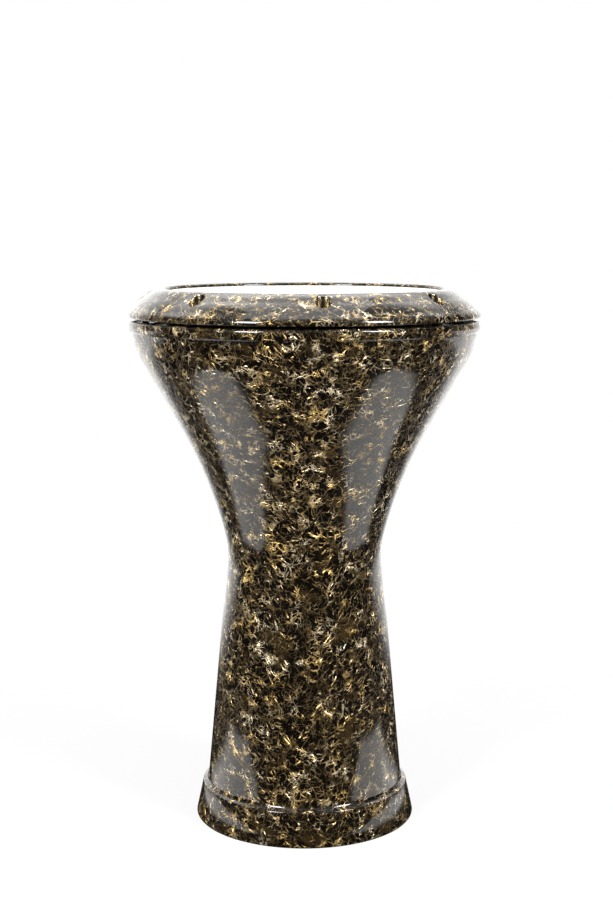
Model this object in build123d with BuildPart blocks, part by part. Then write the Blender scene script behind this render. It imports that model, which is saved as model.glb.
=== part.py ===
"""Darbuka: a goblet drum of cast aluminium with a bolted tension ring and a clamped plastic head.

The frame is +Z up with the origin at the centre of the foot's bottom face. All sizes are millimetres.
The drum stands on its foot, and tuning_bolt_1 faces -Y.
"""

import os
from math import cos, radians, sin, tan

from build123d import *

# Overall sizes
TOTAL_HEIGHT = 430.0
RING_RADIUS = 140.4
FOOT_RADIUS = 89.2
WALL = 4.0

# Foot: a flared band under a narrow ledge
FOOT_LAND = 5.2
LEDGE_RADIUS = 83.4
LEDGE_HEIGHT = 27.2
LEDGE_SLOPE = 14.5
LEDGE_FILLET = 6.0
FOOT_INNER_HEIGHT = 34.0

# Goblet wall, followed upwards; each angle is the wall's lean from the vertical, outwards positive
STEM_LEAN = -5.2
STEM_TOP = 207.0
WAIST_BEND_RADIUS = 80.0
WAIST_LEAN = 15.0
BOWL_BEND_RADIUS = 360.0
BOWL_LEAN = 30.0
BOWL_STRAIGHT_TOP = 371.0
SHOULDER_BEND_RADIUS = 60.0
SHOULDER_LEAN = 6.0

# Rim: the band round the top of the goblet, and the shelf that the bolts thread into
RIM_RADIUS = 139.9
RIM_BULGE = 0.5
RIM_BOTTOM = 397.0
RIM_TOP = 405.4
SHELF_BOTTOM = 398.6

# Crown: the upright collar whose rounded top is the bearing edge under the head
CROWN_OUTER = 109.6
CROWN_INNER = 103.6

# Head: plastic film glued into a crimped channel
FILM = 0.3
HEAD_TOP = 427.6
FILM_BEND = 3.1
SKIRT_CLEARANCE = 0.3
HOOP_INNER = 110.0
HOOP_OUTER = 117.4
HOOP_TOP = 419.5
HOOP_HEIGHT = 8.0
HOOP_WALL = 0.8
HOOP_CRIMP = 4.5
HOOP_INNER_HEIGHT = 5.0
FILM_STEP = 1.2
FILM_STEP_TOP = 419.0
FILM_STEP_BOTTOM = 417.0
RESIN_HEIGHT = 4.2

# Tension ring
RING_BOTTOM = 407.6
RING_INNER = 111.6
RING_CREST_RADIUS = 114.6
RING_EQUATOR = 409.2
RING_WALL = 4.2
REBATE_RADIUS = 117.9
WEB_RADIUS = 120.4
WEB_BOTTOM = 413.0

# Tuning bolts, M6 socket head cap screws with small washers
BOLT_COUNT = 8
BOLT_CIRCLE = 125.4
BOLT_RADIUS = 3.0
BOLT_LENGTH = 25.0
BOLT_HEAD_RADIUS = 5.0
BOLT_HEAD_HEIGHT = 6.0
SOCKET_ACROSS_FLATS = 5.0
SOCKET_DEPTH = 3.0
WASHER_OUTER = 5.5
WASHER_INNER = 3.2
WASHER_THICKNESS = 1.6
SEAT_HEIGHT = 411.8
COUNTERBORE_RADIUS = 5.8
CLEARANCE_RADIUS = 3.3
TAPPED_RADIUS = 3.05
RING_BOSS_RADIUS = 8.4
SHELL_BOSS_RADIUS = 7.0
SHELL_BOSS_BOTTOM = 390.0

FRONT = -90.0  # direction of the first bolt, in degrees from +X


def save(part, name):
    """Labels a finished piece and writes it as its own STEP file."""
    part.label = name
    export_step(part, f"parts/{name}.step")


def lean_direction(lean):
    """Unit direction, in radius and height, of a wall that leans out by that many degrees."""
    return (sin(radians(lean)), cos(radians(lean)))


def goblet_wall(start, inset):
    """Draws the wall's curve from a point on the stem up to the shoulder's end, moved in by inset, and returns that end."""
    stem_end_height = STEM_TOP + inset * sin(radians(STEM_LEAN))
    stem_end = (start[0] + (stem_end_height - start[1]) * tan(radians(STEM_LEAN)), stem_end_height)
    Line(start, stem_end)
    waist = JernArc(stem_end, lean_direction(STEM_LEAN), WAIST_BEND_RADIUS + inset, STEM_LEAN - WAIST_LEAN)
    bowl = JernArc(waist @ 1, lean_direction(WAIST_LEAN), BOWL_BEND_RADIUS + inset, WAIST_LEAN - BOWL_LEAN)
    straight_top = BOWL_STRAIGHT_TOP + inset * sin(radians(BOWL_LEAN))
    straight_run = (straight_top - (bowl @ 1).Y) / cos(radians(BOWL_LEAN))
    cone = PolarLine(bowl @ 1, straight_run, direction=lean_direction(BOWL_LEAN))
    shoulder = JernArc(
        cone @ 1, lean_direction(BOWL_LEAN), SHOULDER_BEND_RADIUS - inset, BOWL_LEAN - SHOULDER_LEAN
    )
    return shoulder @ 1


def corner(section, radius, height):
    """The corner of a section that lies nearest to a point."""
    return section.vertices().sort_by_distance((radius, height))[0]


os.makedirs("parts", exist_ok=True)

# The goblet: foot, stem, bowl, rim, shelf and crown are one casting
crown_radius = (CROWN_OUTER - CROWN_INNER) / 2
crown_top = HEAD_TOP - FILM

with BuildPart() as goblet_shell:
    with BuildSketch(Plane.XZ) as shell_section:
        with BuildLine():
            ledge = JernArc(
                (LEDGE_RADIUS, LEDGE_HEIGHT),
                (-cos(radians(LEDGE_SLOPE)), sin(radians(LEDGE_SLOPE))),
                LEDGE_FILLET,
                LEDGE_SLOPE - STEM_LEAN - 90,
            )
            stem_radius, stem_bottom = (ledge @ 1).X, (ledge @ 1).Y
            shoulder_end = goblet_wall((stem_radius, stem_bottom), 0)
            inner_start = (
                stem_radius - WALL + (FOOT_INNER_HEIGHT - stem_bottom) * tan(radians(STEM_LEAN)),
                FOOT_INNER_HEIGHT,
            )
            inner_end = goblet_wall(inner_start, WALL)
            Polyline(
                (LEDGE_RADIUS, LEDGE_HEIGHT),
                (FOOT_RADIUS, 0),
                (FOOT_RADIUS - FOOT_LAND, 0),
                inner_start,
            )
            Polyline(shoulder_end, (shoulder_end.X, RIM_BOTTOM), (RIM_RADIUS, RIM_BOTTOM))
            SagittaArc((RIM_RADIUS, RIM_BOTTOM), (RIM_RADIUS, RIM_TOP), -RIM_BULGE)
            Polyline(
                (RIM_RADIUS, RIM_TOP),
                (CROWN_OUTER, RIM_TOP),
                (CROWN_OUTER, crown_top - crown_radius),
            )
            ThreePointArc(
                (CROWN_OUTER, crown_top - crown_radius),
                (CROWN_OUTER - crown_radius, crown_top),
                (CROWN_INNER, crown_top - crown_radius),
            )
            Polyline(
                (CROWN_INNER, crown_top - crown_radius),
                (CROWN_INNER, SHELF_BOTTOM),
                (inner_end.X, SHELF_BOTTOM),
                inner_end,
            )
        make_face()
        fillet(corner(shell_section, LEDGE_RADIUS, LEDGE_HEIGHT), 1.6)
        fillet(corner(shell_section, FOOT_RADIUS, 0), 1.2)
        fillet(corner(shell_section, FOOT_RADIUS - FOOT_LAND, 0), 1.0)
        fillet(corner(shell_section, shoulder_end.X, RIM_BOTTOM), 0.9)
        fillet(corner(shell_section, RIM_RADIUS, RIM_BOTTOM), 1.3)
        fillet(corner(shell_section, RIM_RADIUS, RIM_TOP), 2.6)
        fillet(corner(shell_section, CROWN_OUTER, RIM_TOP), 1.5)
        fillet(corner(shell_section, CROWN_INNER, SHELF_BOTTOM), 2.0)
    revolve(axis=Axis.Z)
    with BuildSketch(Plane.XY.offset(SHELL_BOSS_BOTTOM)):
        with PolarLocations(BOLT_CIRCLE, BOLT_COUNT, start_angle=FRONT):
            Circle(SHELL_BOSS_RADIUS)
    extrude(amount=SHELF_BOTTOM - SHELL_BOSS_BOTTOM + 1)
    with Locations(Plane.XY.offset(RIM_TOP)):
        with PolarLocations(BOLT_CIRCLE, BOLT_COUNT, start_angle=FRONT):
            Hole(TAPPED_RADIUS, depth=RIM_TOP - SHELL_BOSS_BOTTOM)
save(goblet_shell.part, "goblet_shell")

# The head's film: a flat disc whose edge turns down over the crown and steps out into the hoop
bend_centre = CROWN_OUTER + SKIRT_CLEARANCE - FILM_BEND
skirt_inner = CROWN_OUTER + SKIRT_CLEARANCE
film_under = HEAD_TOP - FILM
film_end = HOOP_TOP - HOOP_HEIGHT + HOOP_WALL + 1.0

with BuildPart() as drumhead_film:
    with BuildSketch(Plane.XZ):
        with BuildLine():
            Polyline((bend_centre, film_under), (0, film_under), (0, HEAD_TOP), (bend_centre, HEAD_TOP))
            outer_bend = JernArc((bend_centre, HEAD_TOP), (1, 0), FILM_BEND + FILM, -90)
            inner_bend = JernArc((bend_centre, film_under), (1, 0), FILM_BEND, -90)
            Polyline(
                outer_bend @ 1,
                (skirt_inner + FILM, FILM_STEP_TOP),
                (skirt_inner + FILM_STEP + FILM, FILM_STEP_BOTTOM),
                (skirt_inner + FILM_STEP + FILM, film_end),
                (skirt_inner + FILM_STEP, film_end),
                (skirt_inner + FILM_STEP, FILM_STEP_BOTTOM),
                (skirt_inner, FILM_STEP_TOP),
                inner_bend @ 1,
            )
        make_face()
    revolve(axis=Axis.Z)
save(drumhead_film.part, "drumhead_film")

# The hoop: an aluminium channel, its outer wall crimped in over the resin
hoop_bottom = HOOP_TOP - HOOP_HEIGHT

with BuildPart() as drumhead_hoop:
    with BuildSketch(Plane.XZ) as hoop_section:
        with BuildLine():
            Polyline(
                (HOOP_INNER, hoop_bottom),
                (HOOP_OUTER, hoop_bottom),
                (HOOP_OUTER, HOOP_TOP),
                (HOOP_OUTER - HOOP_CRIMP, HOOP_TOP),
                (HOOP_OUTER - HOOP_CRIMP, HOOP_TOP - HOOP_WALL),
                (HOOP_OUTER - HOOP_WALL, HOOP_TOP - HOOP_WALL),
                (HOOP_OUTER - HOOP_WALL, hoop_bottom + HOOP_WALL),
                (HOOP_INNER + HOOP_WALL, hoop_bottom + HOOP_WALL),
                (HOOP_INNER + HOOP_WALL, hoop_bottom + HOOP_INNER_HEIGHT),
                (HOOP_INNER, hoop_bottom + HOOP_INNER_HEIGHT),
                close=True,
            )
        make_face()
        fillet(corner(hoop_section, HOOP_OUTER, HOOP_TOP), 0.6)
        fillet(corner(hoop_section, HOOP_OUTER, hoop_bottom), 0.6)
    revolve(axis=Axis.Z)
save(drumhead_hoop.part, "drumhead_hoop")

# The resin that holds the film's edge in the channel
with BuildPart() as drumhead_resin:
    with BuildSketch(Plane.XZ):
        with BuildLine():
            Polyline(
                (HOOP_INNER + HOOP_WALL, hoop_bottom + HOOP_WALL),
                (HOOP_OUTER - HOOP_WALL, hoop_bottom + HOOP_WALL),
                (HOOP_OUTER - HOOP_WALL, hoop_bottom + HOOP_WALL + RESIN_HEIGHT),
                (HOOP_INNER + HOOP_WALL, hoop_bottom + HOOP_WALL + RESIN_HEIGHT),
                close=True,
            )
        make_face()
    revolve(axis=Axis.Z)
    add(drumhead_film.part, mode=Mode.SUBTRACT)
save(drumhead_resin.part, "drumhead_resin")

# The hollow under the tension ring, left solid round each bolt
with BuildPart() as ring_hollow:
    with BuildSketch(Plane.XZ):
        with BuildLine():
            Spline(
                (RING_RADIUS - RING_WALL, RING_BOTTOM),
                (133.8, 412.6),
                (128.2, 417.9),
                (WEB_RADIUS, 421.6),
                tangents=[(0, 1), (-1, 0.35)],
            )
            Polyline(
                (WEB_RADIUS, 421.6),
                (WEB_RADIUS, WEB_BOTTOM),
                (REBATE_RADIUS, WEB_BOTTOM),
                (REBATE_RADIUS, RING_BOTTOM),
                (RING_RADIUS - RING_WALL, RING_BOTTOM),
            )
        make_face()
    revolve(axis=Axis.Z)
    with BuildSketch(Plane.XY.offset(RING_BOTTOM)):
        with PolarLocations(BOLT_CIRCLE, BOLT_COUNT, start_angle=FRONT):
            Circle(RING_BOSS_RADIUS)
    extrude(amount=TOTAL_HEIGHT - RING_BOTTOM, mode=Mode.SUBTRACT)

# The tension ring: a rounded shoulder whose inner lip presses the hoop down
with BuildPart() as tension_ring:
    with BuildSketch(Plane.XZ) as ring_section:
        with BuildLine():
            shoulder = Spline(
                (RING_RADIUS, RING_EQUATOR),
                (135.3, 416.2),
                (127.3, 423.1),
                (RING_CREST_RADIUS, TOTAL_HEIGHT),
                tangents=[(0, 1), (-1, 0)],
            )
            Polyline(
                shoulder @ 1,
                (RING_INNER, TOTAL_HEIGHT),
                (RING_INNER, HOOP_TOP),
                (REBATE_RADIUS, HOOP_TOP),
                (REBATE_RADIUS, RING_BOTTOM),
                (RING_RADIUS, RING_BOTTOM),
                shoulder @ 0,
            )
        make_face()
        fillet(corner(ring_section, RING_INNER, TOTAL_HEIGHT), 2.6)
        fillet(corner(ring_section, RING_RADIUS, RING_BOTTOM), 1.0)
    revolve(axis=Axis.Z)
    add(ring_hollow.part, mode=Mode.SUBTRACT)
    with Locations(Plane.XY.offset(TOTAL_HEIGHT)):
        with PolarLocations(BOLT_CIRCLE, BOLT_COUNT, start_angle=FRONT):
            CounterBoreHole(CLEARANCE_RADIUS, COUNTERBORE_RADIUS, TOTAL_HEIGHT - SEAT_HEIGHT)
save(tension_ring.part, "tension_ring")


def bolt_origin(number, height):
    """A point on the axis of a bolt, counted from 1 at the front."""
    direction = radians(FRONT + (number - 1) * 360 / BOLT_COUNT)
    return (BOLT_CIRCLE * cos(direction), BOLT_CIRCLE * sin(direction), height)


def make_washer(number):
    """A flat washer on the counterbore's floor."""
    with BuildPart() as washer:
        with BuildSketch(Plane(bolt_origin(number, SEAT_HEIGHT))):
            Circle(WASHER_OUTER)
            Circle(WASHER_INNER, mode=Mode.SUBTRACT)
        extrude(amount=WASHER_THICKNESS)
    return washer.part


def make_bolt(number):
    """A hexagon socket head cap screw, its thread drawn as a plain shank."""
    under_head = SEAT_HEIGHT + WASHER_THICKNESS
    with BuildPart() as bolt:
        with BuildSketch(Plane(bolt_origin(number, under_head))):
            Circle(BOLT_HEAD_RADIUS)
        extrude(amount=BOLT_HEAD_HEIGHT)
        chamfer(bolt.edges().group_by(Axis.Z)[-1], 0.5)
        with BuildSketch(Plane(bolt_origin(number, under_head + BOLT_HEAD_HEIGHT))):
            RegularPolygon(SOCKET_ACROSS_FLATS / 2, 6, major_radius=False)
        extrude(amount=-SOCKET_DEPTH, mode=Mode.SUBTRACT)
        with BuildSketch(Plane(bolt_origin(number, under_head))):
            Circle(BOLT_RADIUS)
        extrude(amount=-BOLT_LENGTH)
        chamfer(bolt.edges().group_by(Axis.Z)[0], 0.6)
    return bolt.part


for bolt_number in range(1, BOLT_COUNT + 1):
    save(make_washer(bolt_number), f"bolt_washer_{bolt_number}")
    save(make_bolt(bolt_number), f"tuning_bolt_{bolt_number}")
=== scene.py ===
from math import cos, pi, radians, sin, sqrt, tan

import bmesh
import bpy
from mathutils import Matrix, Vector


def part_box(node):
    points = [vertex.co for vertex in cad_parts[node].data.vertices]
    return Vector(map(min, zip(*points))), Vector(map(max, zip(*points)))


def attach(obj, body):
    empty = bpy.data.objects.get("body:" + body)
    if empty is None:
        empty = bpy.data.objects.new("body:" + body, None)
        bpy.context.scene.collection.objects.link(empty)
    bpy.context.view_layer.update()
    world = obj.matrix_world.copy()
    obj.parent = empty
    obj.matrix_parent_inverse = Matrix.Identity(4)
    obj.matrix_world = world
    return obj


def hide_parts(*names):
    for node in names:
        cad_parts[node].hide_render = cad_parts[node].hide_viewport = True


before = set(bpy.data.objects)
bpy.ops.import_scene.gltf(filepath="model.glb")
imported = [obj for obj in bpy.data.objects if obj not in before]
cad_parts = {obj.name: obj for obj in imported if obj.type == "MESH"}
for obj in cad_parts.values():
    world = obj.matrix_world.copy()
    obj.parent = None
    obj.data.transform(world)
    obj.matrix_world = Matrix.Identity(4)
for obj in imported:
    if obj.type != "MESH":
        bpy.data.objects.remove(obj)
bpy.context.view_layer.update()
MM = 0.001

# The room is white to the eye: a floor that melts into a white sweep, with two soft lamps and one overhead.
# In reflections alone, both the room and the floor are different: dark in front, bright behind and above,
# with a bright card lying on either side, so that the lacquer's middle stays black.
ROOM_DARK = 0.01
BACKLIGHT = 1.7
CEILING = 0.5
TOP_LIGHT = 4.5
AMBIENT = 0.35
WHITE = (1, 1, 1, 1)
FLOOR_SIZE = 6.0
FLOOR_WHITE = (0.9, 0.9, 0.9, 1)
SHADOW_FLOOR = 0.84
CARD_GLOW = 1.9
CARD_TURN = 0.108
CARD_INNER, CARD_OUTER = (0.13, 0.17), (0.42, 0.50)
CARD_FRONT, CARD_BACK = (-0.21, -0.17), (0.03, 0.12)
CAMERA_TURN = radians(6.2)
CAMERA_TILT = 0.147
CAMERA_DISTANCE = 1.2603
CAMERA_ASIDE = 0.00154
CAMERA_HEIGHT = 0.4785
CAMERA_LENS = 62.0


def add_node(tree, kind, inputs=None, **settings):
    """Adds a node, sets its properties, and fills its inputs with values or links."""
    node = tree.nodes.new(kind)
    for key, value in settings.items():
        setattr(node, key, value)
    for key, value in (inputs or {}).items():
        if isinstance(value, bpy.types.NodeSocket):
            tree.links.new(value, node.inputs[key])
        else:
            node.inputs[key].default_value = value
    return node


def calculate(tree, operation, first, second=0.0, third=0.0, clamp=False):
    """One step of arithmetic on sockets or numbers."""
    node = add_node(tree, "ShaderNodeMath", {0: first, 1: second, 2: third}, operation=operation)
    node.use_clamp = clamp
    return node.outputs[0]


def ramp(tree, value, low, high, start=0.0, end=1.0):
    """Eases a value from start at low to end at high, and holds it beyond them."""
    node = add_node(
        tree,
        "ShaderNodeMapRange",
        {"Value": value, "From Min": low, "From Max": high, "To Min": start, "To Max": end},
        interpolation_type="SMOOTHSTEP",
    )
    return node.outputs[0]


def clear_tree(owner):
    """Empties a material's or world's node tree."""
    owner.use_nodes = True
    owner.node_tree.nodes.clear()
    return owner.node_tree


world = bpy.data.worlds.new("room")
bpy.context.scene.world = world
tree = clear_tree(world)
direction = add_node(tree, "ShaderNodeTexCoord").outputs["Generated"]
heading = add_node(tree, "ShaderNodeSeparateXYZ", {0: direction})
behind = ramp(tree, heading.outputs["Y"], 0.5, 0.95, ROOM_DARK, BACKLIGHT)
overhead = ramp(tree, heading.outputs["Y"], 0.2, 0.65, CEILING, TOP_LIGHT)
above = ramp(tree, heading.outputs["Z"], 0.45, 0.85)
room = calculate(tree, "MAXIMUM", behind, calculate(tree, "MULTIPLY", above, overhead))
path = add_node(tree, "ShaderNodeLightPath")
seen = calculate(tree, "MAXIMUM", path.outputs["Is Camera Ray"], path.outputs["Is Transmission Ray"])
lit = add_node(tree, "ShaderNodeMix", {0: path.outputs["Is Glossy Ray"], 2: AMBIENT, 3: room}, data_type="FLOAT")
strength = add_node(tree, "ShaderNodeMix", {0: seen, 2: lit.outputs[0], 3: 1.0}, data_type="FLOAT")
backdrop = add_node(tree, "ShaderNodeBackground", {"Color": WHITE, "Strength": strength.outputs[0]})
add_node(tree, "ShaderNodeOutputWorld", {"Surface": backdrop.outputs[0]})

bpy.ops.mesh.primitive_plane_add(size=FLOOR_SIZE, location=(0, 0, 0))
floor = bpy.context.object
floor.name = "floor"
floor_paint = bpy.data.materials.new("white_sweep")
tree = clear_tree(floor_paint)
spot = add_node(tree, "ShaderNodeTexCoord").outputs["Object"]
to_camera = add_node(tree, "ShaderNodeVectorRotate", {"Vector": spot, "Angle": CARD_TURN}, rotation_type="Z_AXIS")
place = add_node(tree, "ShaderNodeSeparateXYZ", {0: to_camera.outputs[0]})
across = calculate(tree, "ABSOLUTE", place.outputs["X"])
sides = calculate(tree, "MULTIPLY", ramp(tree, across, *CARD_INNER), ramp(tree, across, *CARD_OUTER, 1.0, 0.0))
front_edge = ramp(tree, place.outputs["Y"], *CARD_FRONT)
back_edge = ramp(tree, place.outputs["Y"], *CARD_BACK, 1.0, 0.0)
card = calculate(tree, "MULTIPLY", sides, calculate(tree, "MULTIPLY", front_edge, back_edge))
far_floor = ramp(tree, place.outputs["Y"], 0.35, 0.9, ROOM_DARK, BACKLIGHT)
mirrored = calculate(tree, "MULTIPLY_ADD", card, CARD_GLOW, far_floor)
distance = add_node(tree, "ShaderNodeVectorMath", {0: spot}, operation="LENGTH")
plain = ramp(tree, distance.outputs["Value"], 0.15, 0.5, SHADOW_FLOOR, 1.0)
path = add_node(tree, "ShaderNodeLightPath")
sheet_white = add_node(tree, "ShaderNodeBsdfDiffuse", {"Color": FLOOR_WHITE})
own_white = add_node(tree, "ShaderNodeEmission", {"Color": WHITE, "Strength": 1.0})


def mix_shaders(factor, first, second):
    """Blends two of the floor's shaders."""
    return add_node(tree, "ShaderNodeMixShader", {0: factor, 1: first.outputs[0], 2: second.outputs[0]})


seen_floor = mix_shaders(plain, sheet_white, own_white)
mirrored_floor = add_node(tree, "ShaderNodeEmission", {"Color": WHITE, "Strength": mirrored})
by_camera = mix_shaders(path.outputs["Is Camera Ray"], sheet_white, seen_floor)
by_gloss = mix_shaders(path.outputs["Is Glossy Ray"], by_camera, mirrored_floor)
add_node(tree, "ShaderNodeOutputMaterial", {"Surface": by_gloss.outputs[0]})
floor.data.materials.append(floor_paint)


def add_lamp(name, size, power, place, aim):
    """A rectangular soft lamp at a place, facing a point."""
    lamp = bpy.data.lights.new(name, "AREA")
    lamp.shape = "RECTANGLE"
    lamp.size, lamp.size_y = size
    lamp.energy = power
    holder = bpy.data.objects.new(name, lamp)
    bpy.context.scene.collection.objects.link(holder)
    holder.location = place
    holder.rotation_euler = (Vector(aim) - Vector(place)).to_track_quat("-Z", "Y").to_euler()


for name, side in (("left_lamp", -1), ("right_lamp", 1)):
    add_lamp(name, (0.45, 0.75), 30, (side * 1.05, -1.15, 1.15), (0, 0, 0.2))
add_lamp("top_lamp", (1.2, 1.2), 9, (0, 0.2, 1.9), (0, 0, 0.3))

camera_data = bpy.data.cameras.new("camera")
camera = bpy.data.objects.new("camera", camera_data)
bpy.context.scene.collection.objects.link(camera)
bpy.context.scene.camera = camera
camera_data.lens = CAMERA_LENS
camera.location = (
    -CAMERA_DISTANCE * sin(CAMERA_TURN) + CAMERA_ASIDE * cos(CAMERA_TURN),
    -CAMERA_DISTANCE * cos(CAMERA_TURN) - CAMERA_ASIDE * sin(CAMERA_TURN),
    CAMERA_HEIGHT,
)
camera.rotation_euler = (pi / 2 - CAMERA_TILT, 0, -CAMERA_TURN)
bpy.context.scene.view_settings.view_transform = "Standard"

# The goblet is one sand casting in aluminium: foot, stem, bowl, rim and the upright crown under the head.
# It is turned on a lathe outside and lacquered black over a crackled gold leaf, then sprayed with clear gloss.
# Inside it stays as cast, and eight bosses under the rim's shelf are drilled and tapped for the bolts.
_, shell_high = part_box("goblet_shell")
RIM_EDGE = shell_high[0] / MM
CROWN_TOP = shell_high[2] / MM
FOOT_EDGE = 89.2
WALL = 4.0
STEM_LEAN = -5.2
STEM_TOP = 207.0
WAIST_RADIUS, WAIST_LEAN = 80.0, 15.0
BOWL_RADIUS, CONE_LEAN = 360.0, 30.0
CONE_TOP = 371.0
SHOULDER_RADIUS, SHOULDER_TURN = 60.0, 24.0
INSIDE_START = 34.0
BOSS_RADIUS, BOSS_BOTTOM = 7.0, 390.0
RIM_TOP = 405.4
RIM_BOTTOM = 397.0
SHELF_UNDER = 398.6
CROWN_OUTER, CROWN_INNER = 109.6, 103.6
BOLT_CIRCLE = 125.4
BOLT_COUNT = 8
TAPPED_RADIUS = 3.05
LACQUER_BLACK = (0.0026, 0.0017, 0.0010, 1)
STAIN_BROWN = (0.036, 0.021, 0.006, 1)
LEAF_PALE = (0.95, 0.79, 0.53, 1)
LEAF_GOLD = (0.92, 0.62, 0.22, 1)
LEAF_DULL = (0.13, 0.088, 0.036, 1)


def bend(start, heading, radius, turn, steps):
    """Points along an arc that leaves a point in a heading and turns by that many degrees, left positive."""
    side = 1 if turn > 0 else -1
    angle = radians(heading)
    centre = (start[0] - side * radius * sin(angle), start[1] + side * radius * cos(angle))
    points = []
    for step in range(1, steps + 1):
        now = angle + radians(turn) * step / steps
        points.append((centre[0] + side * radius * sin(now), centre[1] - side * radius * cos(now)))
    return points


def round_corners(corners, steps=5):
    """Outline through corners given as (radius, height, rounding), each rounded by an arc."""
    outline = []
    for place, (x, y, rounding) in enumerate(corners):
        if not rounding:
            outline.append((x, y))
            continue
        before, after = corners[place - 1], corners[(place + 1) % len(corners)]
        away = []
        for other in (before, after):
            length = sqrt((other[0] - x) ** 2 + (other[1] - y) ** 2)
            away.append(((other[0] - x) / length, (other[1] - y) / length))
        half = ((away[0][0] * away[1][0] + away[0][1] * away[1][1]) + 1) / 2
        reach = rounding * sqrt(half / max(1 - half, 1e-9))
        (ax, ay), (bx, by) = ((x + reach * d[0], y + reach * d[1]) for d in away)
        inward = sqrt(reach**2 + rounding**2)
        middle = (away[0][0] + away[1][0], away[0][1] + away[1][1])
        size = sqrt(middle[0] ** 2 + middle[1] ** 2)
        cx, cy = x + middle[0] / size * inward, y + middle[1] / size * inward
        for step in range(steps + 1):
            part = step / steps
            px, py = ax + (bx - ax) * part - cx, ay + (by - ay) * part - cy
            reach_now = sqrt(px**2 + py**2)
            outline.append((cx + px / reach_now * rounding, cy + py / reach_now * rounding))
    return outline


def finish_shape(name, shape):
    """Turns a bmesh into an object in the scene, and frees it."""
    mesh = bpy.data.meshes.new(name)
    shape.to_mesh(mesh)
    shape.free()
    piece = bpy.data.objects.new(name, mesh)
    bpy.context.scene.collection.objects.link(piece)
    return piece


def turn_on_lathe(name, outline, segments, ripple=None):
    """A closed body of revolution from an outline of (radius, height) in millimetres, which may touch the axis."""
    shape = bmesh.new()
    rings = []
    for radius, height in outline:
        if radius < 1e-6:
            rings.append([shape.verts.new((0, 0, height * MM))] * segments)
            continue
        ring = []
        for segment in range(segments):
            angle = 2 * pi * segment / segments
            edge = radius + (ripple(radius, height, angle) if ripple else 0)
            ring.append(shape.verts.new((edge * cos(angle) * MM, edge * sin(angle) * MM, height * MM)))
        rings.append(ring)
    for lower, upper in zip(rings, rings[1:] + rings[:1]):
        for segment in range(segments):
            beside = (segment + 1) % segments
            corners = [lower[segment], lower[beside], upper[beside], upper[segment]]
            corners = [c for place, c in enumerate(corners) if c not in corners[:place]]
            if len(corners) > 2:
                shape.faces.new(corners)
    bmesh.ops.recalc_face_normals(shape, faces=shape.faces)
    return finish_shape(name, shape)


def smooth(piece, crease=32):
    """Smooth shading, with edges kept sharp above an angle."""
    piece.data.shade_smooth()
    piece.data.set_sharp_from_angle(angle=radians(crease))


def join_or_cut(piece, tool, operation):
    """Applies one boolean with a tool that is then thrown away."""
    step = piece.modifiers.new("step", "BOOLEAN")
    step.operation = operation
    step.solver = "EXACT"
    step.object = tool
    seen_piece = piece.evaluated_get(bpy.context.evaluated_depsgraph_get())
    mesh = bpy.data.meshes.new_from_object(seen_piece)
    piece.modifiers.clear()
    piece.data = mesh
    bpy.data.objects.remove(tool)


def bolt_angle(number):
    """Direction of a bolt from the drum's axis; the first is at the front."""
    return -pi / 2 + number * 2 * pi / BOLT_COUNT


def ring_of_rods(name, radius, low, high, segments=48):
    """Upright rods at the bolts' places, as one tool."""
    shape = bmesh.new()
    size = {"radius1": radius * MM, "radius2": radius * MM, "depth": (high - low) * MM}
    for number in range(BOLT_COUNT):
        angle = bolt_angle(number)
        made = bmesh.ops.create_cone(shape, cap_ends=True, segments=segments, **size)
        middle = (BOLT_CIRCLE * cos(angle) * MM, BOLT_CIRCLE * sin(angle) * MM, (low + high) / 2 * MM)
        bmesh.ops.translate(shape, verts=made["verts"], vec=middle)
    return finish_shape(name, shape)


def goblet_wall(start, inset):
    """The wall's curve from a point on the stem up to the shoulder's end, moved in by inset."""
    stem_top = STEM_TOP + inset * sin(radians(STEM_LEAN))
    points = []
    for step in range(1, 13):
        height = start[1] + (stem_top - start[1]) * step / 12
        points.append((start[0] + (height - start[1]) * tan(radians(STEM_LEAN)), height))
    points += bend(points[-1], 90 - STEM_LEAN, WAIST_RADIUS + inset, STEM_LEAN - WAIST_LEAN, 12)
    points += bend(points[-1], 90 - WAIST_LEAN, BOWL_RADIUS + inset, WAIST_LEAN - CONE_LEAN, 18)
    cone_top = CONE_TOP + inset * sin(radians(CONE_LEAN))
    low_r, low_z = points[-1]
    for step in range(1, 7):
        height = low_z + (cone_top - low_z) * step / 6
        points.append((low_r + (height - low_z) * tan(radians(CONE_LEAN)), height))
    points += bend(points[-1], 90 - CONE_LEAN, SHOULDER_RADIUS - inset, SHOULDER_TURN, 10)
    return points


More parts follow.
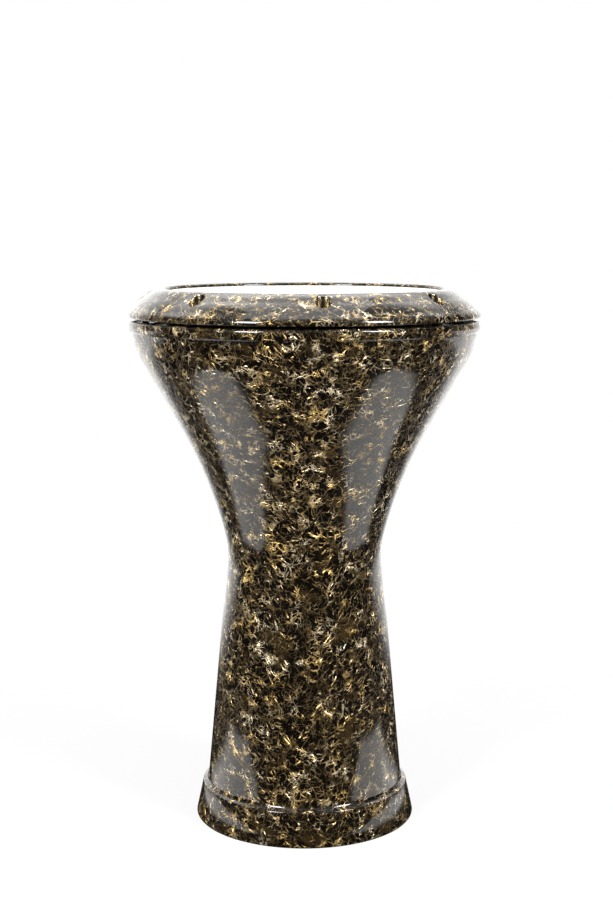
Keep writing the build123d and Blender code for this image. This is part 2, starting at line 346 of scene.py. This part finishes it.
LEDGE = (83.4, 27.2)
LEDGE_SLOPE = 14.5
ledge_end = (LEDGE[0] - cos(radians(LEDGE_SLOPE)), LEDGE[1] + sin(radians(LEDGE_SLOPE)))
ledge = [ledge_end] + bend(ledge_end, 180 - LEDGE_SLOPE, 4.6, LEDGE_SLOPE - STEM_LEAN - 90, 10)
outer_wall = ledge + goblet_wall(ledge[-1], 0)
inside_reach = ledge[-1][0] - WALL + (INSIDE_START - ledge[-1][1]) * tan(radians(STEM_LEAN))
inner_start = (inside_reach, INSIDE_START)
inner_wall = [inner_start] + goblet_wall(inner_start, WALL)
crown_round = (CROWN_OUTER - CROWN_INNER) / 2
corners = [(FOOT_EDGE, 0, 1.2), (*LEDGE, 1.4)]
corners += [(r, z, 0) for r, z in outer_wall]
corners += [
    (outer_wall[-1][0], RIM_BOTTOM, 0.9),
    (RIM_EDGE - 0.5, RIM_BOTTOM, 1.3),
    (RIM_EDGE, (RIM_BOTTOM + RIM_TOP) / 2, 6.0),
    (RIM_EDGE - 0.5, RIM_TOP, 2.2),
    (BOLT_CIRCLE + 8, RIM_TOP, 0),
    (BOLT_CIRCLE - 8, RIM_TOP, 0),
    (CROWN_OUTER, RIM_TOP, 1.5),
    (CROWN_OUTER, CROWN_TOP, crown_round - 0.01),
    (CROWN_INNER, CROWN_TOP, crown_round - 0.01),
    (CROWN_INNER, SHELF_UNDER, 2.0),
    (BOLT_CIRCLE - 8, SHELF_UNDER, 0),
    (BOLT_CIRCLE + 7.2, SHELF_UNDER, 0),
    (inner_wall[-1][0], SHELF_UNDER, 0),
]
corners += [(r, z, 0) for r, z in reversed(inner_wall)]
corners += [(FOOT_EDGE - 5.2, 0, 1.0)]
goblet = turn_on_lathe("goblet", round_corners(corners), 288)
join_or_cut(goblet, ring_of_rods("bosses", BOSS_RADIUS, BOSS_BOTTOM, SHELF_UNDER + 1), "UNION")
join_or_cut(goblet, ring_of_rods("tapped_holes", TAPPED_RADIUS, BOSS_BOTTOM - 1, RIM_TOP + 1), "DIFFERENCE")
smooth(goblet)


def start_material(name):
    """A new material, its empty node tree and its object coordinates."""
    material = bpy.data.materials.new(name)
    nodes = clear_tree(material)
    return material, nodes, add_node(nodes, "ShaderNodeTexCoord").outputs["Object"]


def end_material(values):
    """Closes the material in hand with one principled shader."""
    shader = add_node(tree, "ShaderNodeBsdfPrincipled", values)
    add_node(tree, "ShaderNodeOutputMaterial", {"Surface": shader.outputs[0]})


def mix_colours(factor, first, second):
    """Blends two colours in the material in hand."""
    node = add_node(tree, "ShaderNodeMix", {0: factor, "A": first, "B": second}, data_type="RGBA")
    return node.outputs["Result"]


def add_relief(height, strength, depth):
    """Bump in the material in hand, from a height between 0 and 1 that stands for a depth in metres."""
    return add_node(tree, "ShaderNodeBump", {"Strength": strength, "Distance": depth, "Height": height}).outputs[0]


def add_noise(scale, detail=2.0, offset=(0, 0, 0), coordinate=None, output="Fac"):
    """Noise at a number of features to the metre, from its own part of space."""
    moved = add_node(tree, "ShaderNodeVectorMath", {0: coordinate or where, 1: offset}, operation="ADD").outputs[0]
    values = {"Vector": moved, "Scale": scale, "Detail": detail, "Roughness": 0.5}
    return add_node(tree, "ShaderNodeTexNoise", values).outputs[output]


leaf_lacquer, tree, where = start_material("crackled_gold_lacquer")


swirl = add_noise(55.0, 1.0, output="Color")
swirl = add_node(tree, "ShaderNodeVectorMath", {0: swirl, 1: (0.5, 0.5, 0.5)}, operation="SUBTRACT").outputs[0]
swirl = add_node(tree, "ShaderNodeVectorMath", {0: swirl, "Scale": 0.012}, operation="SCALE").outputs[0]
curled = add_node(tree, "ShaderNodeVectorMath", {0: where, 1: swirl}, operation="ADD").outputs[0]


def add_strands(scale, breaks, width, offset):
    """Curling strands of one width with tapered ends: the borders of swirled cells, thinned away by a noise."""
    moved = add_node(tree, "ShaderNodeVectorMath", {0: curled, 1: offset}, operation="ADD").outputs[0]
    cells = add_node(tree, "ShaderNodeTexVoronoi", {"Vector": moved, "Scale": scale}, feature="DISTANCE_TO_EDGE")
    noise = add_noise(breaks, 1.0, (offset[1], offset[2], offset[0]))
    half_width = ramp(tree, noise, 0.46, 0.64, 0.0005, width * MM * scale / 2)
    from_border = calculate(tree, "DIVIDE", cells.outputs["Distance"], half_width)
    return calculate(tree, "SUBTRACT", 1.0, from_border, clamp=True)


strands = add_strands(70.0, 100.0, 1.3, (3.1, 0.4, 1.7))
for scale, breaks, width, offset in (
    (95.0, 125.0, 1.15, (0.9, 5.2, 2.3)),
    (130.0, 160.0, 1.05, (7.4, 1.1, 4.6)),
    (112.0, 115.0, 0.95, (2.2, 8.3, 6.1)),
    (170.0, 190.0, 0.9, (5.2, 3.3, 9.1)),
    (225.0, 210.0, 0.75, (9.4, 0.8, 2.9)),
):
    strands = calculate(tree, "MAXIMUM", strands, add_strands(scale, breaks, width, offset))
crinkle = ramp(tree, strands, 0.05, 0.6)
cloud = ramp(tree, add_noise(60.0, 3.0, (4.4, 4.4, 0.3)), 0.52, 0.8)
stain = mix_colours(cloud, LACQUER_BLACK, STAIN_BROWN)
tone = ramp(tree, add_noise(60.0, 2.0, (1.2, 7.7, 5.5)), 0.35, 0.65)
bright_leaf = mix_colours(tone, LEAF_PALE, LEAF_GOLD)
shine = ramp(tree, add_noise(110.0, 2.0, (6.1, 2.7, 3.5)), 0.45, 0.68)
leaf = mix_colours(shine, LEAF_DULL, bright_leaf)
speck = add_noise(900.0, 2.0, (0.2, 0.2, 0.2))
end_material(
    {
        "Base Color": mix_colours(crinkle, stain, leaf),
        "Metallic": calculate(tree, "MULTIPLY", crinkle, 0.9),
        "Roughness": ramp(tree, speck, 0.3, 0.7, 0.22, 0.36),
        "Normal": add_relief(strands, 0.8, 0.0008),
        "Specular IOR Level": 0.1,
        "Coat Weight": 1.0,
        "Coat Roughness": 0.03,
        "Coat IOR": 1.5,
    }
)

cast_inside, tree, where = start_material("cast_aluminium")
grain = add_noise(700.0, 4.0)
patches = add_noise(28.0, 3.0)
end_material(
    {
        "Base Color": mix_colours(ramp(tree, patches, 0.35, 0.65), (0.33, 0.33, 0.335, 1), (0.46, 0.455, 0.45, 1)),
        "Metallic": 0.85,
        "Roughness": ramp(tree, grain, 0.3, 0.7, 0.42, 0.62),
        "Normal": add_relief(grain, 0.5, 0.0005),
    }
)


def paint(piece, *materials):
    """Gives a piece its materials in order."""
    piece.data.materials.clear()
    for material in materials:
        piece.data.materials.append(material)


def paint_faces(piece, slot_number, chooses):
    """Moves the faces that a test on (radius, height, outward tilt) chooses to another slot."""
    for face in piece.data.polygons:
        x, y, z = (value / MM for value in face.center)
        radius = sqrt(x * x + y * y)
        outward = (face.normal.x * x + face.normal.y * y) / max(radius, 1e-6)
        if chooses(radius, z, outward):
            face.material_index = slot_number


paint(goblet, leaf_lacquer, cast_inside)
paint_faces(
    goblet,
    1,
    lambda radius, height, outward: (
        outward < -0.02 and 3 < height < SHELF_UNDER and radius < outer_wall[-1][0] - 2
    )
    or (SHELF_UNDER - 12 < height < SHELF_UNDER + 0.5 and radius < BOLT_CIRCLE + 7.5),
)
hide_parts("goblet_shell")
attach(goblet, "shell")

# The head is a sheet of white coated polyester, heat-formed over the crown into a short skirt. The skirt steps
# out and ends in the resin of its hoop.
film_low, film_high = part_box("drumhead_film")
HEAD_TOP = film_high[2] / MM
FILM = 0.3
SKIRT = CROWN_OUTER + 0.3
BEND = 3.1
SKIRT_STEP = 1.2
STEP_TOP, STEP_BOTTOM = 419.0, 417.0
flat_edge = SKIRT - BEND
outer_bend = bend((flat_edge, HEAD_TOP), 0, BEND + FILM, -90, 10)
inner_bend = bend((flat_edge, HEAD_TOP - FILM), 0, BEND, -90, 10)
film_outline = [(0, HEAD_TOP)] + [(flat_edge * part / 12, HEAD_TOP) for part in range(1, 13)] + outer_bend
film_outline += [(SKIRT + FILM, STEP_TOP), (SKIRT + SKIRT_STEP + FILM, STEP_BOTTOM)]
film_outline += [(SKIRT + SKIRT_STEP + FILM, film_low[2] / MM), (SKIRT + SKIRT_STEP, film_low[2] / MM)]
film_outline += [(SKIRT + SKIRT_STEP, STEP_BOTTOM), (SKIRT, STEP_TOP)] + inner_bend[::-1]
film_outline += [(flat_edge * part / 12, HEAD_TOP - FILM) for part in range(12, 0, -1)] + [(0, HEAD_TOP - FILM)]
head_film = turn_on_lathe("head_film", film_outline, 192)
smooth(head_film)
coated_film, tree, where = start_material("coated_polyester")
haze = add_noise(45.0, 4.0)
tooth = add_noise(2200.0, 2.0)
end_material(
    {
        "Base Color": mix_colours(ramp(tree, haze, 0.3, 0.7), (0.84, 0.84, 0.82, 1), (0.88, 0.88, 0.87, 1)),
        "Roughness": ramp(tree, tooth, 0.3, 0.7, 0.30, 0.42),
        "Normal": add_relief(tooth, 0.15, 0.0001),
        "Subsurface Weight": 0.15,
        "Subsurface Scale": 0.002,
    }
)
paint(head_film, coated_film)
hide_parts("drumhead_film")
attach(head_film, "shell")

# The hoop is a rolled channel of bare aluminium. Its outer wall is folded in over the resin by a crimping wheel,
# which leaves a shallow pleat at every step round it.
hoop_low, hoop_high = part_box("drumhead_hoop")
HOOP_TOP, HOOP_BOTTOM = hoop_high[2] / MM, hoop_low[2] / MM
HOOP_OUTER, HOOP_INNER = hoop_high[0] / MM, 110.0
HOOP_WALL = 0.8
HOOP_LIP, HOOP_INNER_HEIGHT = 4.5, 5.0
PLEATS = 96


def pleat(radius, height, angle):
    """How far the crimping wheel pressed the channel in at a point."""
    if radius < HOOP_OUTER - 5 or height < HOOP_TOP - 3:
        return 0
    return -0.18 * (0.5 + 0.5 * cos(PLEATS * angle)) ** 4


hoop_outline = round_corners(
    [
        (HOOP_INNER, HOOP_BOTTOM, 0.5),
        (HOOP_OUTER, HOOP_BOTTOM, 0.6),
        (HOOP_OUTER, HOOP_TOP - 2.6, 0),
        (HOOP_OUTER, HOOP_TOP, 0.7),
        (HOOP_OUTER - HOOP_LIP, HOOP_TOP, 0.3),
        (HOOP_OUTER - HOOP_LIP, HOOP_TOP - HOOP_WALL, 0.2),
        (HOOP_OUTER - HOOP_WALL, HOOP_TOP - HOOP_WALL, 0),
        (HOOP_OUTER - HOOP_WALL, HOOP_BOTTOM + HOOP_WALL, 0),
        (HOOP_INNER + HOOP_WALL, HOOP_BOTTOM + HOOP_WALL, 0),
        (HOOP_INNER + HOOP_WALL, HOOP_BOTTOM + HOOP_INNER_HEIGHT, 0.3),
        (HOOP_INNER, HOOP_BOTTOM + HOOP_INNER_HEIGHT, 0.3),
    ],
    3,
)
hoop = turn_on_lathe("crimped_hoop", hoop_outline, 768, pleat)
smooth(hoop, 40)
bare_aluminium, tree, where = start_material("rolled_aluminium")
drawn = add_node(tree, "ShaderNodeMapping", {"Vector": where, "Scale": (0.05, 0.05, 1.0)}).outputs[0]
lines = add_noise(6000.0, 2.0, coordinate=drawn)
end_material(
    {
        "Base Color": (0.70, 0.70, 0.71, 1),
        "Metallic": 1.0,
        "Roughness": ramp(tree, lines, 0.3, 0.7, 0.24, 0.40),
        "Normal": add_relief(lines, 0.2, 0.0001),
    }
)
paint(hoop, bare_aluminium)
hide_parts("drumhead_hoop")
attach(hoop, "shell")

# The resin is poured into the channel round the film's edge. It sets amber and glossy, and creeps a little way
# up the walls that it touches.
resin_low, resin_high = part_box("drumhead_resin")
RESIN_TOP, RESIN_BOTTOM = resin_high[2] / MM, resin_low[2] / MM
FILM_OUT = SKIRT + SKIRT_STEP + FILM
CHANNEL_OUT = HOOP_OUTER - HOOP_WALL
resin_outline = [(FILM_OUT, RESIN_BOTTOM), (CHANNEL_OUT, RESIN_BOTTOM), (CHANNEL_OUT, RESIN_TOP)]
for step in range(9, -1, -1):
    part = step / 9
    radius = FILM_OUT + (CHANNEL_OUT - FILM_OUT) * part
    resin_outline.append((radius, RESIN_TOP - 0.5 * (1 - (2 * part - 1) ** 4)))
resin = turn_on_lathe("hoop_resin", resin_outline, 192)
smooth(resin, 50)
amber, tree, where = start_material("amber_resin")
bubbles = add_noise(400.0, 3.0)
end_material(
    {
        "Base Color": mix_colours(ramp(tree, bubbles, 0.4, 0.7), (0.44, 0.27, 0.09, 1), (0.58, 0.40, 0.17, 1)),
        "Roughness": ramp(tree, bubbles, 0.3, 0.7, 0.10, 0.22),
    }
)
paint(resin, amber)
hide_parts("drumhead_resin")
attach(resin, "shell")

# The tension ring is a second casting, with the goblet's finish. Its lip bears on the hoop all round, and eight
# counterbores are milled straight down through the lacquer, so their walls show bright metal.
ring_low, ring_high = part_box("tension_ring")
RING_BOTTOM, RING_TOP = ring_low[2] / MM, ring_high[2] / MM
RING_EDGE = ring_high[0] / MM
RING_INNER = 111.6
REBATE = 117.9
SEAT = 411.8
RING_BOSS = 7.4
LIP_ROUNDING, LIP_ABOVE = 0.45, 417.0
COUNTERBORE, CLEARANCE = 5.8, 3.3


def spline_through(points, start_heading, end_heading, steps):
    """A smooth curve through points, leaving and arriving in given headings."""
    count = len(points)
    slopes = []
    for place in range(count):
        if place == 0 or place == count - 1:
            near = points[1] if place == 0 else points[-2]
            span = sqrt((near[0] - points[place][0]) ** 2 + (near[1] - points[place][1]) ** 2)
            heading = start_heading if place == 0 else end_heading
            slopes.append((cos(radians(heading)) * span, sin(radians(heading)) * span))
        else:
            after, before = points[place + 1], points[place - 1]
            slopes.append(((after[0] - before[0]) / 2, (after[1] - before[1]) / 2))
    curve = [points[0]]
    for place in range(count - 1):
        for step in range(1, steps + 1):
            t = step / steps
            weights = (2 * t**3 - 3 * t**2 + 1, t**3 - 2 * t**2 + t, -2 * t**3 + 3 * t**2, t**3 - t**2)
            parts = (points[place], slopes[place], points[place + 1], slopes[place + 1])
            curve.append(tuple(sum(w * p[axis] for w, p in zip(weights, parts)) for axis in (0, 1)))
    return curve


shoulder_points = [(RING_EDGE, 409.2), (135.3, 416.2), (127.3, 423.1), (114.8, RING_TOP)]
shoulder = spline_through(shoulder_points, 90, 180, 14)
ring_corners = [(RING_EDGE, RING_BOTTOM, 1.0)] + [(r, z, 0) for r, z in shoulder]
ring_corners += [
    (RING_INNER, RING_TOP, 2.4),
    (RING_INNER, HOOP_TOP, 0.3),
    (REBATE - 0.4, HOOP_TOP, 0),
    (REBATE, HOOP_TOP, 0),
    (REBATE, RING_BOTTOM, 0.4),
]
ring = turn_on_lathe("tension_ring_casting", round_corners(ring_corners), 360)
roof_points = [(RING_EDGE - 4.2, RING_BOTTOM - 1), (133.8, 412.6), (128.2, 417.9), (120.4, 421.2)]
hollow_roof = spline_through(roof_points, 90, 160, 8)
hollow_outline = hollow_roof + [(120.4, 413.0), (REBATE - 1, 413.0), (REBATE - 1, RING_BOTTOM - 1)]
hollow = turn_on_lathe("hollow", hollow_outline, 360)
join_or_cut(hollow, ring_of_rods("boss_rods", RING_BOSS, RING_BOTTOM, RING_TOP), "DIFFERENCE")
join_or_cut(ring, hollow, "DIFFERENCE")
join_or_cut(ring, ring_of_rods("counterbores", COUNTERBORE, SEAT, RING_TOP + 5, 72), "DIFFERENCE")
join_or_cut(ring, ring_of_rods("clearance_holes", CLEARANCE, RING_BOTTOM - 5, SEAT + 1), "DIFFERENCE")


def near_bolt(x, y):
    """How far a point lies from the nearest bolt's axis."""
    angles = [bolt_angle(number) for number in range(BOLT_COUNT)]
    return min(sqrt((x - BOLT_CIRCLE * cos(a)) ** 2 + (y - BOLT_CIRCLE * sin(a)) ** 2) for a in angles)


lip = ring.modifiers.new("lip", "BEVEL")
lip.limit_method = "WEIGHT"
lip.width = LIP_ROUNDING * MM
lip.segments = 3
lip.use_clamp_overlap = False
weights = ring.data.attributes.new("bevel_weight_edge", "FLOAT", "EDGE")
ring_shape = bmesh.new()
ring_shape.from_mesh(ring.data)
for edge, weight in zip(ring_shape.edges, weights.data):
    ends = [(v.co.x / MM, v.co.y / MM) for v in edge.verts]
    on_lip = all(abs(near_bolt(*end) - COUNTERBORE) < 0.02 for end in ends)
    weight.value = 1.0 if on_lip and edge.verts[0].co.z > LIP_ABOVE * MM and edge.calc_face_angle(0) > 0.4 else 0.0
ring_shape.free()
ring_mesh = bpy.data.meshes.new_from_object(ring.evaluated_get(bpy.context.evaluated_depsgraph_get()))
ring.modifiers.clear()
ring.data = ring_mesh
smooth(ring)
milled_bore, tree, where = start_material("milled_bore")
tool_marks = add_node(tree, "ShaderNodeMapping", {"Vector": where, "Scale": (0.1, 0.1, 1.0)}).outputs[0]
marks = add_noise(900.0, 1.0, coordinate=tool_marks)
end_material(
    {
        "Base Color": mix_colours(ramp(tree, marks, 0.35, 0.65), (0.30, 0.22, 0.11, 1), (0.62, 0.52, 0.35, 1)),
        "Metallic": 1.0,
        "Roughness": 0.2,
        "Normal": add_relief(marks, 0.25, 0.0001),
        "Coat Weight": 1.0,
        "Coat Roughness": 0.03,
    }
)
paint(ring, leaf_lacquer, milled_bore, cast_inside)
for face in ring.data.polygons:
    x, y, z = (value / MM for value in face.center)
    radius = sqrt(x * x + y * y)
    if near_bolt(x, y) < COUNTERBORE + 0.05 and z < RING_TOP - 2:
        face.material_index = 1
    elif REBATE + 0.5 < radius < RING_EDGE - 1.5 and face.normal.z < 0.3 and z > RING_BOTTOM + 0.05:
        face.material_index = 2
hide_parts("tension_ring")
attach(ring, "ring")

# Eight black-oxide socket head screws of size M6 draw the ring down. Each is rolled and knurled in one piece,
# passes through the ring with clearance and turns in its own tapped hole in the rim.
screw_low, screw_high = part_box("tuning_bolt_1")
SCREW_TIP, SCREW_TOP = screw_low[2] / MM, screw_high[2] / MM
HEAD_RADIUS = 5.0
HEAD_UNDER = SCREW_TOP - 6.0
AXIS_POINT = 1e-4
RINGS_PER_TURN = 8
SHANK_RADIUS = 2.98
THREAD_ROOT = 2.5
THREAD_PITCH = 1.0
SOCKET_FLATS, SOCKET_DEPTH = 5.0, 3.0
KNURLS = 24
SCREW_SEGMENTS = 96
SCREW_TWIST = 0.37


def thread(height, angle):
    """Radius of the right-hand thread."""
    phase = ((height - SCREW_TIP) / THREAD_PITCH - angle / (2 * pi)) % 1
    return THREAD_ROOT + (SHANK_RADIUS - THREAD_ROOT) * min(max(1.3 * abs(2 * phase - 1) - 0.15, 0), 1)


def knurl(height, angle):
    """Radius of the ribbed side of the head."""
    return HEAD_RADIUS - 0.16 * (0.5 + 0.5 * cos(KNURLS * angle)) ** 2


def socket(height, angle):
    """Radius of the hexagonal socket."""
    return SOCKET_FLATS / 2 / cos((angle + pi / 6) % (pi / 3) - pi / 6)


def circle_of(radius):
    """A round section."""
    return lambda height, angle: radius


screw_rings = [(SCREW_TIP, circle_of(AXIS_POINT)), (SCREW_TIP, circle_of(2.2))]
thread_rings = int((HEAD_UNDER - 0.6 - SCREW_TIP) / THREAD_PITCH * RINGS_PER_TURN)
for step in range(2, thread_rings + 1):
    screw_rings.append((SCREW_TIP + step * THREAD_PITCH / RINGS_PER_TURN, thread))
screw_rings += [
    (HEAD_UNDER - 0.4, circle_of(2.9)),
    (HEAD_UNDER, circle_of(3.0)),
    (HEAD_UNDER, circle_of(4.6)),
    (HEAD_UNDER + 0.3, circle_of(4.84)),
    (HEAD_UNDER + 0.5, knurl),
    (SCREW_TOP - 0.9, knurl),
    (SCREW_TOP - 0.8, circle_of(4.95)),
    (SCREW_TOP - 0.4, circle_of(4.9)),
    (SCREW_TOP - 0.1, circle_of(4.7)),
    (SCREW_TOP, circle_of(4.45)),
    (SCREW_TOP, circle_of(3.1)),
    (SCREW_TOP - 0.25, socket),
    (SCREW_TOP - SOCKET_DEPTH, socket),
    (SCREW_TOP - SOCKET_DEPTH - 0.4, circle_of(1.2)),
    (SCREW_TOP - SOCKET_DEPTH - 0.7, circle_of(AXIS_POINT)),
]
shape = bmesh.new()
rings = []
for height, section in screw_rings:
    angles = [2 * pi * segment / SCREW_SEGMENTS for segment in range(SCREW_SEGMENTS)]
    edges = [section(height, a) for a in angles]
    rings.append([shape.verts.new((e * cos(a) * MM, e * sin(a) * MM, height * MM)) for e, a in zip(edges, angles)])
for lower, upper in zip(rings, rings[1:]):
    for segment in range(SCREW_SEGMENTS):
        beside = (segment + 1) % SCREW_SEGMENTS
        shape.faces.new((lower[segment], lower[beside], upper[beside], upper[segment]))
bmesh.ops.remove_doubles(shape, verts=shape.verts, dist=1e-6)
bmesh.ops.recalc_face_normals(shape, faces=shape.faces)
screw_pattern = finish_shape("screw_pattern", shape)
smooth(screw_pattern, 35)

black_oxide, tree, where = start_material("black_oxide_steel")
bloom = add_noise(260.0, 3.0)
fine = add_noise(3000.0, 2.0)
end_material(
    {
        "Base Color": mix_colours(ramp(tree, bloom, 0.35, 0.7), (0.020, 0.020, 0.022, 1), (0.055, 0.050, 0.046, 1)),
        "Metallic": 0.7,
        "Roughness": ramp(tree, fine, 0.3, 0.7, 0.28, 0.42),
        "Normal": add_relief(fine, 0.2, 0.0001),
    }
)

on_circle = bpy.data.node_groups.new("fasteners_on_circle", "GeometryNodeTree")
for name, kind in (
    ("Fastener", "NodeSocketObject"),
    ("Circle Radius", "NodeSocketFloat"),
    ("Count", "NodeSocketInt"),
    ("First Angle", "NodeSocketFloat"),
    ("Twist", "NodeSocketFloat"),
    ("Finish", "NodeSocketMaterial"),
):
    on_circle.interface.new_socket(name=name, in_out="INPUT", socket_type=kind)
on_circle.interface.new_socket(name="Geometry", in_out="OUTPUT", socket_type="NodeSocketGeometry")
given = add_node(on_circle, "NodeGroupInput").outputs
index = add_node(on_circle, "GeometryNodeInputIndex").outputs[0]
step_angle = calculate(on_circle, "DIVIDE", 2 * pi, given["Count"])
turned = calculate(on_circle, "MULTIPLY_ADD", index, step_angle, given["First Angle"])
spot = add_node(
    on_circle,
    "ShaderNodeCombineXYZ",
    {
        "X": calculate(on_circle, "MULTIPLY", given["Circle Radius"], calculate(on_circle, "COSINE", turned)),
        "Y": calculate(on_circle, "MULTIPLY", given["Circle Radius"], calculate(on_circle, "SINE", turned)),
    },
)
spots = add_node(on_circle, "GeometryNodePoints", {"Count": given["Count"], "Position": spot.outputs[0]})
shown = add_node(on_circle, "GeometryNodeObjectInfo", {"Object": given["Fastener"]})
facing = add_node(on_circle, "ShaderNodeCombineXYZ", {"Z": calculate(on_circle, "ADD", turned, given["Twist"])})
placed = add_node(
    on_circle,
    "GeometryNodeInstanceOnPoints",
    {"Points": spots.outputs[0], "Instance": shown.outputs["Geometry"], "Rotation": facing.outputs[0]},
)
real = add_node(on_circle, "GeometryNodeRealizeInstances", {"Geometry": placed.outputs[0]})
finished = add_node(on_circle, "GeometryNodeSetMaterial", {"Geometry": real.outputs[0], "Material": given["Finish"]})
add_node(on_circle, "NodeGroupOutput", {"Geometry": finished.outputs[0]})


def fasten(name, pattern, finish, count, first_angle, twist):
    """Runs the tree once and keeps its result as a plain mesh."""
    piece = bpy.data.objects.new(name, bpy.data.meshes.new(name))
    bpy.context.scene.collection.objects.link(piece)
    step = piece.modifiers.new("fasteners", "NODES")
    step.node_group = on_circle
    values = {
        "Fastener": pattern,
        "Circle Radius": BOLT_CIRCLE * MM,
        "Count": count,
        "First Angle": first_angle,
        "Twist": twist,
        "Finish": finish,
    }
    for item in on_circle.interface.items_tree:
        if item.in_out == "INPUT":
            step[item.identifier] = values[item.name]
    mesh = bpy.data.meshes.new_from_object(piece.evaluated_get(bpy.context.evaluated_depsgraph_get()))
    piece.modifiers.clear()
    piece.data = mesh
    return piece


for number in range(BOLT_COUNT):
    stopped_at = SCREW_TWIST * number
    screw = fasten(f"tuning_screw_{number + 1}", screw_pattern, black_oxide, 1, bolt_angle(number), stopped_at)
    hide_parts(f"tuning_bolt_{number + 1}")
    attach(screw, f"bolt_{number + 1}")
bpy.data.objects.remove(screw_pattern)

# A small flat washer lies on the floor of each counterbore, so that the screw's head doesn't chew the casting.
washer_low, washer_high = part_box("bolt_washer_1")
WASHER_INNER, WASHER_OUTER = 3.2, 5.5
washer_outline = round_corners(
    [
        (WASHER_INNER, washer_low[2] / MM, 0.1),
        (WASHER_OUTER, washer_low[2] / MM, 0.15),
        (WASHER_OUTER, washer_high[2] / MM, 0.3),
        (WASHER_INNER, washer_high[2] / MM, 0.1),
    ],
    3,
)
washer_pattern = turn_on_lathe("washer_pattern", washer_outline, 64)
smooth(washer_pattern, 35)
washers = fasten("washers", washer_pattern, black_oxide, BOLT_COUNT, bolt_angle(0), 0.0)
bpy.data.objects.remove(washer_pattern)
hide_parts(*[f"bolt_washer_{number + 1}" for number in range(BOLT_COUNT)])
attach(washers, "ring")
